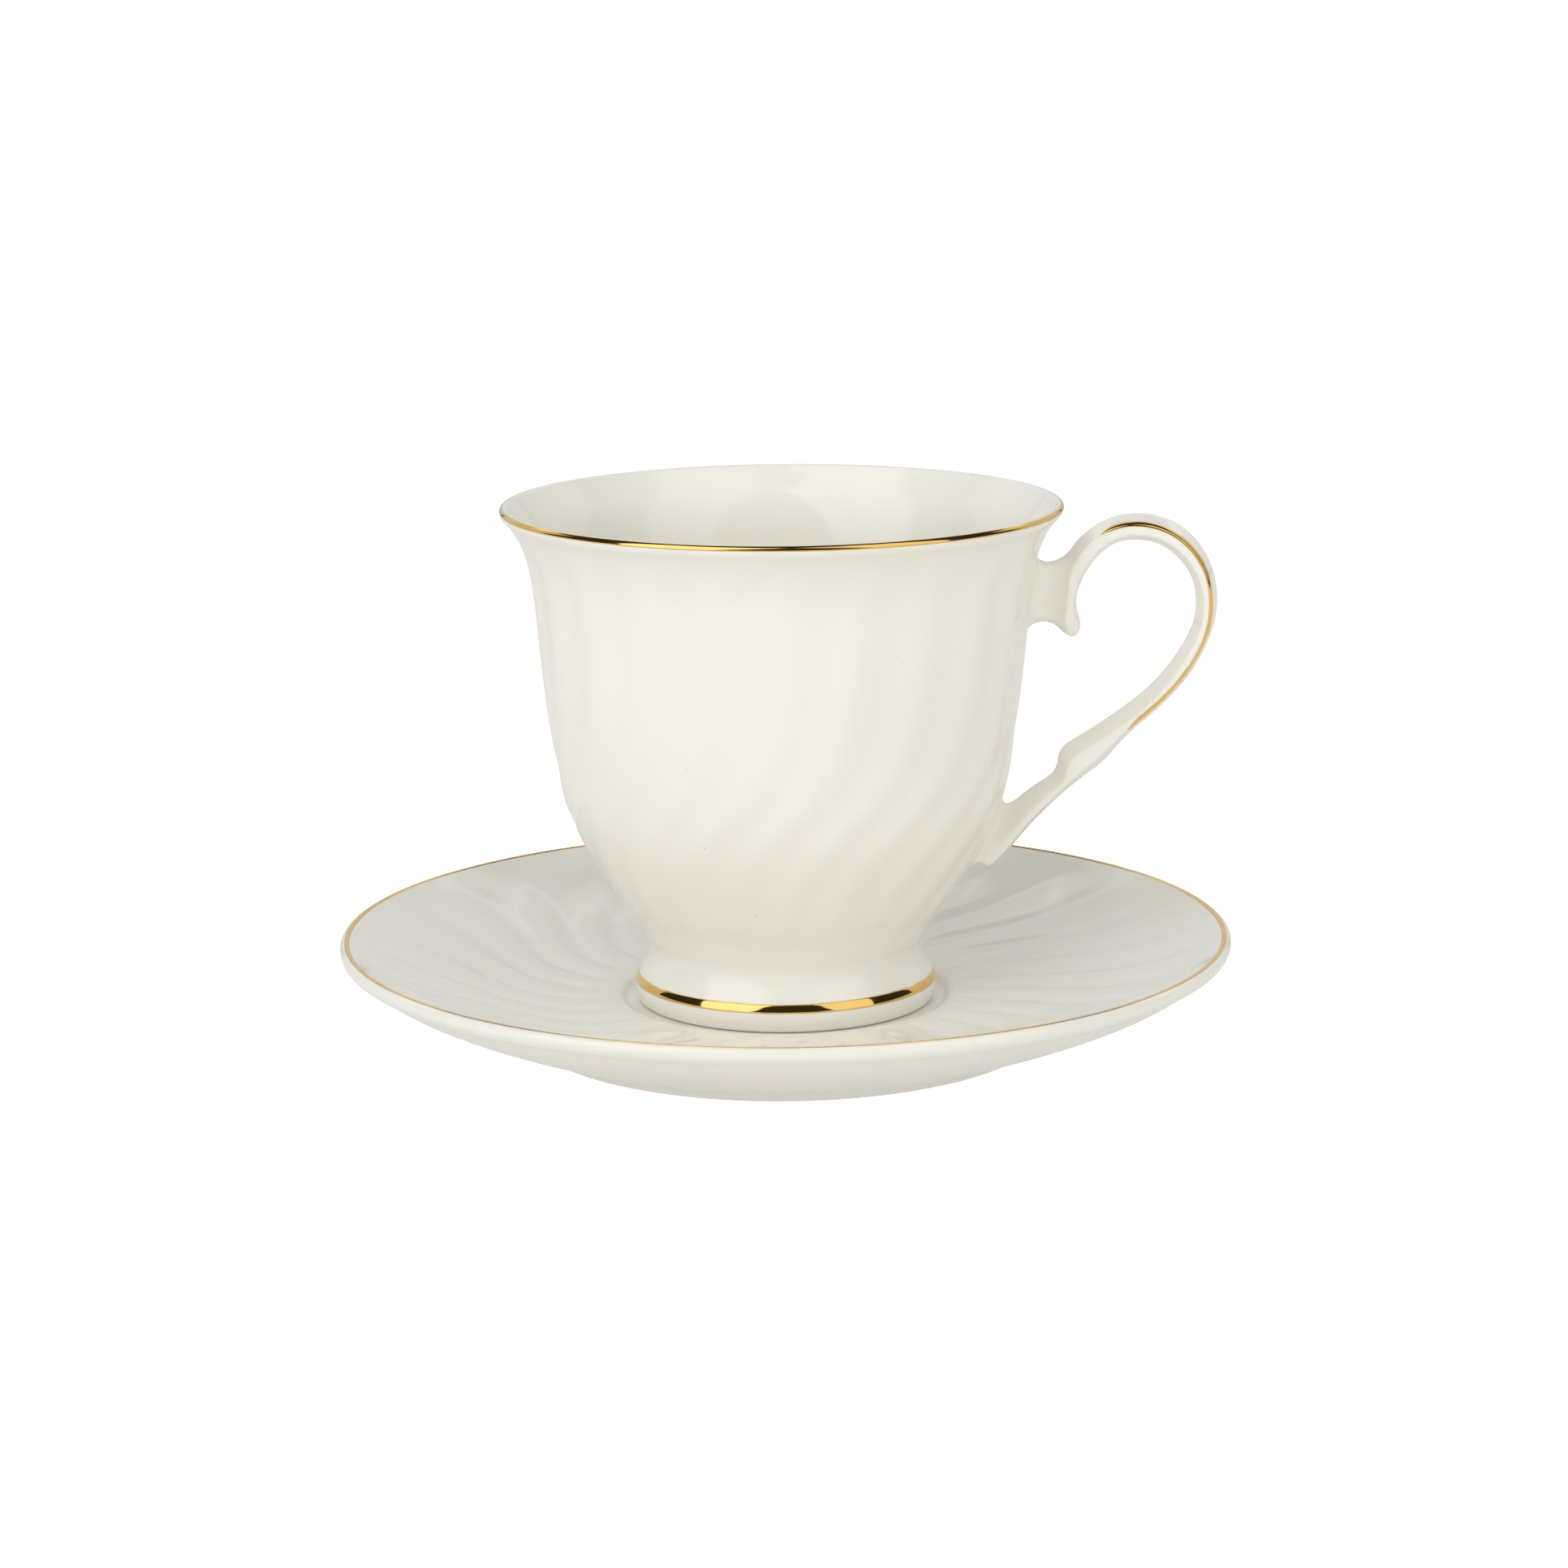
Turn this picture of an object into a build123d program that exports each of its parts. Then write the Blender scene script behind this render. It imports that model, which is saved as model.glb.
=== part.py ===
"""Footed porcelain teacup standing on its saucer, with spiral flutes and fired gold lines.

Sizes are in millimetres. The origin is the centre of the saucer's foot ring, on the table,
+Z runs up the common axis of cup and saucer, and the handle points along +X.
"""

import os
from math import cos, hypot, pi, radians, sin, tanh

from build123d import *

# ---------------------------------------------------------------- saucer
SAUCER_RADIUS = 75.1          # outermost edge of the rim
SAUCER_CREST = 17.9           # height of the rim's crest
SAUCER_CREST_RADIUS = 74.1
SAUCER_RING_OUTER = 42.4      # foot ring, where it touches the table
SAUCER_RING_INNER = 40.2
SAUCER_CEILING = 2.6          # underside of the saucer's middle, inside the foot ring
WELL_FLOOR = 6.4              # flat seat that the cup stands on
WELL_RADIUS = 27.4            # step round the seat that keeps the cup in the middle
WELL_STEP = 0.8

# ---------------------------------------------------------------- cup
FOOT_HEIGHT = 9.4
FOOT_WALL = 3.2               # at the waist
FOOT_TREAD_OUTER, FOOT_TREAD_INNER = 24.2, 22.2    # ring on which the cup stands
BAND_TOP, BAND_BOTTOM = (24.85, 11.3), (25.45, 10.1)    # gold band on the foot's shoulder
WAIST_Z = WELL_FLOOR + FOOT_HEIGHT    # crease where the bowl is luted to the foot
WAIST_RADIUS = 22.8
LIP_Z = 89.9                  # centre of the lip's rounded edge
LIP_CENTRE = 45.95            # its distance from the axis
LIP_RADIUS = 0.8
BOWL_FLOOR_Z = WAIST_Z + 3.2  # inside bottom of the bowl

# ---------------------------------------------------------------- flutes
CUP_FLUTES = 22
CUP_FLUTE_DEPTH = 0.5         # from the crest of a lobe to the bottom of a groove
CUP_TWIST = 38.5              # degrees that a flute turns about the axis on its way up
SAUCER_FLUTES = 29
SAUCER_FLUTE_DEPTH = 0.5
SAUCER_TWIST = 20.0
POINTS_PER_FLUTE = 6
LEDGE = 0.02                  # plain surfaces stand this much proud of the flutes they border

# ---------------------------------------------------------------- handle and gold
HANDLE_HALF_WIDTH = 3.75      # from the handle's middle plane to its sides
OUTER_BEVEL = 0.5             # share of the outer offset between the crest and the side's ridge
INNER_BEVEL = 0.6
LUG_WIDTH = 5.6               # block that joins the scroll's top to the bowl, along Y
LUG_BOTTOM, LUG_TOP = 70.2, 80.2
LUG_START, LUG_END = 38.0, 47.6   # along X: from inside the bowl's wall into the scroll
LUG_CORNER = 2.2
GOLD = 0.08                   # thickness of the fired bands
LINE_RADIUS = 0.4             # bead of gold along each outer ridge of the handle
LINE_SUNK = 0.15              # how far the bead's centre lies inside the ridge

# Outer wall of the bowl as (radius, height), from the waist to the underside of the lip.
BOWL_WALL = [
    (WAIST_RADIUS, WAIST_Z), (23.2, 16.5), (25.15, 20.5), (27.7, 24.0), (30.4, 28.0),
    (33.4, 33.0), (36.15, 39.0), (37.9, 46.0), (39.15, 54.0), (40.15, 62.0), (40.9, 70.0),
    (41.6, 77.0), (42.5, 82.0), (44.05, 86.0),
]

# Inside of the bowl, from its middle to the lip.
BOWL_INSIDE = [
    (11.0, BOWL_FLOOR_Z + 0.5), (22.0, 22.8), (27.0, 28.0), (30.8, 33.4), (33.5, 39.0),
    (35.3, 46.0), (36.6, 54.0), (37.6, 62.0), (38.4, 70.0), (39.1, 77.0), (40.2, 82.0),
    (42.0, 86.0), (43.9, 88.6),
]

# Upper face of the saucer, from the seat's step out to the gold line.
SAUCER_FACE = [
    (WELL_RADIUS + 0.4, WELL_FLOOR + WELL_STEP), (34.0, 7.5), (38.0, 7.75), (42.0, 8.2), (46.0, 8.85),
    (50.0, 9.7), (54.0, 10.75), (58.0, 11.9), (62.0, 13.15), (66.0, 14.6), (70.0, 16.2), (73.2, 17.6),
]
FLUTED_FACE = SAUCER_FACE[1:-1]

# The handle as (x, z, outer, inner, half_width): its middle line, from the free tip of the scroll under
# the lug, up and over the top and down to the bowl, and how far it reaches to both sides of that line.
HANDLE_STATIONS = [
    (48.35, 68.1, 0.5, 0.5, 1.1), (48.1, 69.0, 1.3, 1.2, 2.3), (47.9, 70.3, 1.6, 1.5, 3.0),
    (47.7, 73.4, 1.5, 1.3, 3.4), (47.8, 76.4, 1.6, 1.5, HANDLE_HALF_WIDTH),
    (48.8, 79.5, 2.0, 1.9, HANDLE_HALF_WIDTH), (51.2, 83.1, 2.1, 2.1, HANDLE_HALF_WIDTH),
    (55.0, 85.6, 2.1, 2.1, HANDLE_HALF_WIDTH), (59.0, 86.3, 2.0, 2.0, HANDLE_HALF_WIDTH),
    (63.2, 85.3, 2.2, 2.1, HANDLE_HALF_WIDTH), (66.8, 82.3, 2.4, 1.7, HANDLE_HALF_WIDTH),
    (69.4, 78.4, 2.1, 1.5, HANDLE_HALF_WIDTH), (70.5, 73.6, 1.7, 1.7, HANDLE_HALF_WIDTH),
    (70.0, 69.4, 1.6, 1.7, HANDLE_HALF_WIDTH), (68.6, 65.8, 1.7, 2.0, HANDLE_HALF_WIDTH),
    (66.5, 62.6, 1.9, 1.9, HANDLE_HALF_WIDTH), (64.2, 59.8, 2.0, 1.9, HANDLE_HALF_WIDTH),
    (61.5, 57.0, 2.0, 1.95, HANDLE_HALF_WIDTH), (58.2, 54.3, 2.0, 2.0, HANDLE_HALF_WIDTH),
    (54.5, 51.5, 2.5, 2.2, HANDLE_HALF_WIDTH), (50.8, 48.4, 3.0, 2.8, HANDLE_HALF_WIDTH),
    (47.2, 45.1, 2.6, 1.8, HANDLE_HALF_WIDTH), (43.6, 41.4, 2.3, 1.9, HANDLE_HALF_WIDTH),
    (40.0, 37.6, 2.2, 2.7, HANDLE_HALF_WIDTH), (36.6, 33.6, 2.3, 3.2, HANDLE_HALF_WIDTH),
    (33.8, 30.7, 2.3, 3.0, 3.6), (31.0, 28.7, 1.0, 2.4, 3.0),
]
LINE_FIRST, LINE_LAST = 6, 18     # stations between which the gold line runs

os.makedirs("parts", exist_ok=True)


def swell(share):
    """Share of a flute's depth along its length: it fades to nothing at both ends."""
    return min(1.0, 3.0 * sin(pi * share))


def cup_flute_turn(height):
    """Angle of the flutes at a height: upright under the lip, swept round over the belly."""
    return radians(CUP_TWIST) * (tanh((height - 42.5) / 12.4) - 1) / 2


def saucer_flute_turn(radius):
    """Angle of the flutes at a radius: radial near the seat and the rim, swept between them."""
    return -radians(SAUCER_TWIST) * (tanh((radius - 48.0) / 11.0) + 1) / 2


def groove(angle, count, depth):
    """How far the surface lies under the crests of its flutes, at an angle from a crest."""
    return depth * (cos(count * angle) - 1) / 2


def handle_frame(index):
    """Unit run (x, z) of the handle's middle line at one station."""
    before = HANDLE_STATIONS[max(index - 1, 0)]
    after = HANDLE_STATIONS[min(index + 1, len(HANDLE_STATIONS) - 1)]
    run_x, run_z = after[0] - before[0], after[1] - before[1]
    length = hypot(run_x, run_z)
    return run_x / length, run_z / length


# ---------------------------------------------------------------- saucer
def fluted_ring(radius, height, share):
    """Closed wavy line round the saucer's face at one radius."""
    steps = SAUCER_FLUTES * POINTS_PER_FLUTE
    depth = SAUCER_FLUTE_DEPTH * swell(share)
    turn = saucer_flute_turn(radius)
    with BuildLine() as ring:
        Spline(
            *[
                (
                    radius * cos(2 * pi * step / steps),
                    radius * sin(2 * pi * step / steps),
                    height + groove(2 * pi * step / steps - turn, SAUCER_FLUTES, depth),
                )
                for step in range(steps)
            ],
            periodic=True,
        )
    return ring.wire()


last_ring = len(FLUTED_FACE) - 1
face_rings = [fluted_ring(radius, height, place / last_ring)
              for place, (radius, height) in enumerate(FLUTED_FACE)]

with BuildPart() as saucer:
    with BuildSketch(Plane.XZ):
        with BuildLine():
            # underside: seat's ceiling, foot ring and the rising belly
            Polyline((0, SAUCER_CEILING), (SAUCER_RING_INNER - 1.6, SAUCER_CEILING),
                     (SAUCER_RING_INNER, 0), (SAUCER_RING_OUTER, 0), (44.6, 1.05))
            Spline((44.6, 1.05), (50.0, 3.7), (60.0, 7.45), (70.0, 12.4), (74.0, 15.1))
            # rolled rim
            ThreePointArc((74.0, 15.1), (SAUCER_RADIUS, 16.7), (SAUCER_CREST_RADIUS, SAUCER_CREST))
            # face: gold line's land, then a straight run that the fluted dish is cut from
            Polyline((SAUCER_CREST_RADIUS, SAUCER_CREST), SAUCER_FACE[-1],
                     (FLUTED_FACE[-1][0], FLUTED_FACE[-1][1] + LEDGE),
                     (FLUTED_FACE[0][0], FLUTED_FACE[0][1] + LEDGE),
                     SAUCER_FACE[0], (WELL_RADIUS, WELL_FLOOR), (0, WELL_FLOOR), (0, SAUCER_CEILING))
        make_face()
    revolve(axis=Axis.Z)
    add(Solid.make_loft(face_rings), mode=Mode.SUBTRACT)
saucer.part.label = "saucer"
export_step(saucer.part, "parts/saucer.step")

# gold line on the land just inside the rolled rim
land_in, land_out = SAUCER_FACE[-1], (SAUCER_CREST_RADIUS, SAUCER_CREST)
with BuildPart() as saucer_gilding:
    with BuildSketch(Plane.XZ):
        with BuildLine():
            Polyline(land_in, land_out, (land_out[0], land_out[1] + GOLD), (land_in[0], land_in[1] + GOLD),
                     close=True)
        make_face()
    revolve(axis=Axis.Z)
saucer_gilding.part.label = "saucer_gilding"
export_step(saucer_gilding.part, "parts/saucer_gilding.step")

# ---------------------------------------------------------------- cup: foot
foot_inside = WAIST_RADIUS - FOOT_WALL
with BuildPart() as cup_foot:
    with BuildSketch(Plane.XZ):
        with BuildLine():
            Line((foot_inside, WAIST_Z), (WAIST_RADIUS, WAIST_Z))
            Spline((WAIST_RADIUS, WAIST_Z), (23.1, 14.5), (23.9, 13.0), BAND_TOP)
            Line(BAND_TOP, BAND_BOTTOM)
            Spline(BAND_BOTTOM, (25.6, 8.7), (25.3, 7.4), (FOOT_TREAD_OUTER, WELL_FLOOR))
            Polyline((FOOT_TREAD_OUTER, WELL_FLOOR), (FOOT_TREAD_INNER, WELL_FLOOR),
                     (foot_inside + 1.2, 8.4), (foot_inside, 11.0), (foot_inside, WAIST_Z))
        make_face()
    revolve(axis=Axis.Z)
cup_foot.part.label = "cup_foot"
export_step(cup_foot.part, "parts/cup_foot.step")

with BuildPart() as cup_foot_gilding:
    with BuildSketch(Plane.XZ):
        with BuildLine():
            Polyline(BAND_TOP, (BAND_TOP[0] + GOLD, BAND_TOP[1]), (BAND_BOTTOM[0] + GOLD, BAND_BOTTOM[1]),
                     BAND_BOTTOM, close=True)
        make_face()
    revolve(axis=Axis.Z)
cup_foot_gilding.part.label = "cup_foot_gilding"
export_step(cup_foot_gilding.part, "parts/cup_foot_gilding.step")

# ---------------------------------------------------------------- cup: bowl
fluted_wall = BOWL_WALL[1:]
base_top = (BOWL_WALL[1][0] + LEDGE, BOWL_WALL[1][1])
lip_start = (BOWL_WALL[-1][0] + LEDGE, BOWL_WALL[-1][1])
with BuildPart() as bowl_block:
    for place, (radius, height) in enumerate(fluted_wall):
        depth = CUP_FLUTE_DEPTH * swell(place / (len(fluted_wall) - 1))
        turn = cup_flute_turn(height)
        steps = CUP_FLUTES * POINTS_PER_FLUTE
        outline = []
        for step in range(steps):
            angle = 2 * pi * step / steps
            reach = radius + groove(angle - turn, CUP_FLUTES, depth)
            outline.append((reach * cos(angle), reach * sin(angle)))
        with BuildSketch(Plane.XY.offset(height)):
            with BuildLine():
                Spline(*outline, periodic=True)
            make_face()
    loft()
    # plain bottom and plain lip, above and below the flutes
    with BuildSketch(Plane.XZ):
        with BuildLine():
            Polyline((0, WAIST_Z), BOWL_WALL[0], base_top, (0, base_top[1]), close=True)
        make_face()
    revolve(axis=Axis.Z)
    lip_side = (LIP_CENTRE + LIP_RADIUS * cos(radians(-25)), LIP_Z + LIP_RADIUS * sin(radians(-25)))
    with BuildSketch(Plane.XZ):
        with BuildLine():
            Spline(lip_start, (45.6, 88.2), lip_side, tangents=[(0.36, 0.93), (0.42, 0.91)])
            ThreePointArc(lip_side, (LIP_CENTRE + LIP_RADIUS * cos(radians(32)),
                                     LIP_Z + LIP_RADIUS * sin(radians(32))),
                          (LIP_CENTRE, LIP_Z + LIP_RADIUS))
            Polyline((LIP_CENTRE, LIP_Z + LIP_RADIUS), (0, LIP_Z + LIP_RADIUS), (0, lip_start[1]),
                     lip_start)
        make_face()
    revolve(axis=Axis.Z)

inner_lip = (LIP_CENTRE - LIP_RADIUS, LIP_Z)
with BuildPart() as cup_bowl:
    add(bowl_block.part)
    with BuildSketch(Plane.XZ):
        with BuildLine():
            Spline((0, BOWL_FLOOR_Z), *BOWL_INSIDE, inner_lip,
                   tangents=[(1, 0), (0.3, 0.95)])
            ThreePointArc(inner_lip, (LIP_CENTRE - LIP_RADIUS * cos(radians(45)),
                                      LIP_Z + LIP_RADIUS * sin(radians(45))),
                          (LIP_CENTRE, LIP_Z + LIP_RADIUS))
            Polyline((LIP_CENTRE, LIP_Z + LIP_RADIUS), (LIP_CENTRE, LIP_Z + 2), (0, LIP_Z + 2),
                     (0, BOWL_FLOOR_Z))
        make_face()
    revolve(axis=Axis.Z, mode=Mode.SUBTRACT)
cup_bowl.part.label = "cup_bowl"
export_step(cup_bowl.part, "parts/cup_bowl.step")


def lip_point(radius, angle):
    """Point on a circle about the lip's centre, at an angle above the horizontal."""
    return (LIP_CENTRE + radius * cos(radians(angle)), LIP_Z + radius * sin(radians(angle)))


with BuildPart() as cup_rim_gilding:
    with BuildSketch(Plane.XZ):
        with BuildLine():
            outer = LIP_RADIUS + GOLD
            ThreePointArc(lip_point(LIP_RADIUS, -24), lip_point(LIP_RADIUS, 16), lip_point(LIP_RADIUS, 56))
            Line(lip_point(LIP_RADIUS, 56), lip_point(outer, 56))
            ThreePointArc(lip_point(outer, 56), lip_point(outer, 16), lip_point(outer, -24))
            Line(lip_point(outer, -24), lip_point(LIP_RADIUS, -24))
        make_face()
    revolve(axis=Axis.Z)
cup_rim_gilding.part.label = "cup_rim_gilding"
export_step(cup_rim_gilding.part, "parts/cup_rim_gilding.step")

# ---------------------------------------------------------------- cup: handle
with BuildPart() as cup_handle:
    # the scroll: a flattened hexagon with its crests in the middle plane
    for station, (x, z, outer, inner, half_width) in enumerate(HANDLE_STATIONS):
        run_x, run_z = handle_frame(station)
        across = Plane(origin=(x, 0, z), x_dir=(-run_z, 0, run_x), z_dir=(run_x, 0, run_z))
        outer_ridge, inner_ridge = outer * (1 - OUTER_BEVEL), -inner * (1 - INNER_BEVEL)
        with BuildSketch(across):
            with BuildLine():
                Polyline((outer, 0), (outer_ridge, half_width), (inner_ridge, half_width), (-inner, 0),
                         (inner_ridge, -half_width), (outer_ridge, -half_width), close=True)
            make_face()
    loft()
    # lug between the bowl and the scroll's upper end
    with BuildSketch(Plane.YZ.offset(LUG_START)):
        with Locations((0, (LUG_BOTTOM + LUG_TOP) / 2)):
            RectangleRounded(LUG_WIDTH, LUG_TOP - LUG_BOTTOM, LUG_CORNER)
    extrude(amount=LUG_END - LUG_START)
    # the ends are scribed to the bowl's fluted wall
    add(bowl_block.part, mode=Mode.SUBTRACT)
cup_handle.part.label = "cup_handle"
export_step(cup_handle.part, "parts/cup_handle.step")


def ridge_point(station):
    """Point of the gold line at one station of the handle, just inside its outer ridge on the -Y side."""
    x, z, outer, inner, half_width = HANDLE_STATIONS[station]
    run_x, run_z = handle_frame(station)
    reach = outer * (1 - OUTER_BEVEL) - LINE_SUNK
    return (x - run_z * reach, LINE_SUNK - half_width, z + run_x * reach)


with BuildPart() as handle_gilding:
    with BuildLine() as ridge:
        Spline(*[ridge_point(station) for station in range(LINE_FIRST, LINE_LAST + 1)])
    with BuildSketch(Plane(origin=ridge.line @ 0, z_dir=ridge.line % 0)):
        Circle(LINE_RADIUS)
    sweep()
    mirror(about=Plane.XZ)
    add(cup_handle.part, mode=Mode.SUBTRACT)
handle_gilding.part.label = "handle_gilding"
export_step(handle_gilding.part, "parts/handle_gilding.step")
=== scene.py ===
"""Looks of the footed porcelain teacup and its saucer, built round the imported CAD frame."""

from math import cos, pi, radians, sin

import bpy
import numpy as np
from mathutils import Matrix, Vector


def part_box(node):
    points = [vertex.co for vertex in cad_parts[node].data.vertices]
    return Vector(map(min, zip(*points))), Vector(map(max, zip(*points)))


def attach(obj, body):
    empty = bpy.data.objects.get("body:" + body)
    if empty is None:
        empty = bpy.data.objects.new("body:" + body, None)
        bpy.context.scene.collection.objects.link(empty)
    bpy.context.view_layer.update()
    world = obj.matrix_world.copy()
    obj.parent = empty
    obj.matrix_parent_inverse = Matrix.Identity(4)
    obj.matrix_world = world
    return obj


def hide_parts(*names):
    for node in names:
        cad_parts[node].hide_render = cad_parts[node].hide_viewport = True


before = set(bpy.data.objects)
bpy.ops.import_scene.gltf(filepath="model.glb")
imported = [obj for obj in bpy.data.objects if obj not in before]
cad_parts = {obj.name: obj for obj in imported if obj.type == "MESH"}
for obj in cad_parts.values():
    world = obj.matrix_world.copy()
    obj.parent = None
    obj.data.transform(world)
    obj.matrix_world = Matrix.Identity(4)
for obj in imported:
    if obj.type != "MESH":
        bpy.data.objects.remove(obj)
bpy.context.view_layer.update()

MM = 0.001
rng = np.random.default_rng(7)       # only draws the unevenness of the gilding

# ------------------------------------------------------------------ places from the frame, in mm
saucer_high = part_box("saucer")[1]
bowl_low, bowl_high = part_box("cup_bowl")
foot_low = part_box("cup_foot")[0]

SAUCER_RADIUS = saucer_high.x / MM
SEAT_Z = foot_low.z / MM             # the saucer's flat that the cup stands on
WAIST_Z = bowl_low.z / MM            # crease between foot and bowl
LIP_RADIUS = 0.8                     # radius of the lip's rounded edge
LIP_CENTRE = bowl_high.x / MM - LIP_RADIUS
LIP_Z = bowl_high.z / MM - LIP_RADIUS

# ------------------------------------------------------------------ flutes, in mm and degrees
CUP_FLUTES = 22
CUP_WALL_DEPTH = 0.26
CUP_WALL_RISE = (18.5, 28.0)         # heights over which the flutes set in above the waist
CUP_UPPER_DEPTH = 0.25               # what the upper wall adds to the depth
CUP_UPPER_RISE = (44.0, 74.0)        # heights over which it is added
CUP_FLUTE_END = (80.0, 87.5)         # heights over which the flutes fade out under the lip
CUP_TWIST = 36.5                     # turn of a flute from the waist to the lip
CUP_TWIST_Z = 42.5                   # height where it turns most
CUP_TWIST_SPREAD = 12.4              # most of the turn lies within this far above and below it
CUP_PHASE = -64.7                    # from +X to one groove's bottom, under the lip

SAUCER_FLUTES = 29
SAUCER_DEPTH = 0.42
SAUCER_FLUTE_START = (29.0, 35.0)    # radii over which the flutes set in outside the seat
SAUCER_FLUTE_END = (64.0, 71.5)      # radii over which they fade out inside the gold line
SAUCER_SHALLOWER = 0.4               # share of the depth that the outer face lacks
SAUCER_OUTER_FACE = (42.0, 60.0)     # radii over which that share is lost
SAUCER_TWIST = 20.0                  # turn of a flute from the seat to the rim
SAUCER_TWIST_RADIUS = 48.0           # radius where it turns most
SAUCER_TWIST_SPREAD = 11.0           # most of the turn lies within this far inside and outside it
SAUCER_PHASE = 3.0                   # from +X to one groove's bottom, beside the seat

# ------------------------------------------------------------------ gilding, in mm and degrees
FOOT_GOLD = (9.6, 11.3)              # heights of the foot's gold band
RIM_GOLD_START = -9                  # angle above the horizontal, about the lip's rounded edge
RIM_GOLD_SPAN = 78
SAUCER_LAND_Z = 17.7                 # height that the saucer's outline reaches before the gold line
SAUCER_GOLD_RADIUS = 74.35           # outer edge of the saucer's gold line
SAUCER_GOLD_WIDTH = 0.85
BAND_LIFT = 0.035                    # how proud of the glaze a band stands
BAND_DEPTH = 0.05                    # how far its back lies under the glaze
BAND_UNEVEN = 0.035                  # how far its edges wander

LINE_START, LINE_END = (53.0, 84.7), (56.9, 53.2)     # (x, z) near the two tips of the handle's lines
LINE_HALF, LINE_WIDENING = 0.35, 0.13                 # half width at the start, and what it gains by the end
LINE_TAPER = 0.05                                     # share of the length that each tip takes
LINE_TIP = 0.01                                       # half width left at the very tips
LINE_LIFT, LINE_DEPTH = 0.03, 0.06                    # above and under the glaze, as for a band
LINE_UNEVEN = 0.05                                    # share of the width by which it varies

# ------------------------------------------------------------------ handle, in mm
RIDGE = 0.4                          # blend over the ridges of the handle's section
CREST = 0.5                          # rounding of the crest in its middle plane
END_ROUND = 1.2                      # rounding of the scroll's free tip
LUG_MIDDLE = (43.7, 0.0, 75.3)       # the block that ties the scroll to the bowl's upper wall
LUG_HALF = (3.8, 2.3, 4.9)
LUG_ROUND = 1.4
LUG_BLEND = 3.0
WALL_BLEND = 3.2
SKIRT = 0.4                          # how far past its blend the handle's skirt may reach
SUNK = 0.05                          # the skirt ends this far under the bowl's glaze
EMBEDDED = 1.2                       # how deep the handle reaches into the bowl's wall
GRID = 0.17                          # step of the grid that the handle is meshed on
GRID_LOW = (24.5, -7.7, 21.5)        # the grid's box, which holds the handle and its roots
GRID_HIGH = (74.5, 7.7, 90.0)


# ------------------------------------------------------------------ curve helpers
def through(points, widest=0.6, least=4):
    """Close points on the natural cubic spline through rows that start with two coordinates.

    Each span gets at least a few steps, so that spans kept short at a tight curve come out fine."""
    points = np.array(points, float)
    gaps = np.linalg.norm(np.diff(points[:, :2], axis=0), axis=1)
    count = len(points)
    system, right = np.zeros((count, count)), np.zeros(points.shape)
    system[0, 0] = system[-1, -1] = 1
    for row in range(1, count - 1):
        before, after = gaps[row - 1], gaps[row]
        system[row, row - 1:row + 2] = before, 2 * (before + after), after
        right[row] = 6 * ((points[row + 1] - points[row]) / after - (points[row] - points[row - 1]) / before)
    bend = np.linalg.solve(system, right)
    line = [points[:1]]
    for span, gap in enumerate(gaps):
        steps = max(least, int(np.ceil(gap / widest)))
        done = (gap * np.arange(1, steps + 1) / steps)[:, None]
        left = gap - done
        line.append(
            bend[span] * left ** 3 / (6 * gap) + bend[span + 1] * done ** 3 / (6 * gap)
            + (points[span] / gap - bend[span] * gap / 6) * left
            + (points[span + 1] / gap - bend[span + 1] * gap / 6) * done
        )
    return np.concatenate(line)


def mended(*runs):
    """One line from several runs, each starting where the last one ends."""
    return np.concatenate([runs[0]] + [run[1:] for run in runs[1:]])


def lip_point(angle):
    """Point of the lip's rounded edge, at an angle in degrees above the horizontal."""
    return LIP_CENTRE + LIP_RADIUS * cos(radians(angle)), LIP_Z + LIP_RADIUS * sin(radians(angle))


def ramp(value, low, high):
    """0 below low, 1 above high, smooth between."""
    share = np.clip((value - low) / (high - low), 0, 1)
    return share * share * (3 - 2 * share)


def normals_of(line):
    """Unit vectors to the right of a line in the (radius, height) plane."""
    run = np.gradient(line, axis=0)
    run /= np.maximum(np.linalg.norm(run, axis=1, keepdims=True), 1e-9)
    return np.stack([run[:, 1], -run[:, 0]], axis=1)


def reach_of(line):
    """Distance along a line at each of its points."""
    return np.concatenate([[0], np.cumsum(np.linalg.norm(np.diff(line, axis=0), axis=1))])


def at_height(outline, height):
    """Distance along an outline to where it first reaches a height."""
    return reach_of(outline)[np.argmax(outline[:, 1] >= height)]


def at_radius_inward(outline, radius, height):
    """Distance along an outline to where it passes a radius on its way in, once it has reached a height."""
    top = np.argmax(outline[:, 1] >= height)
    inward = outline[top:]
    return reach_of(outline)[top] + np.interp(-radius, -inward[:, 0], reach_of(inward))


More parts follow.
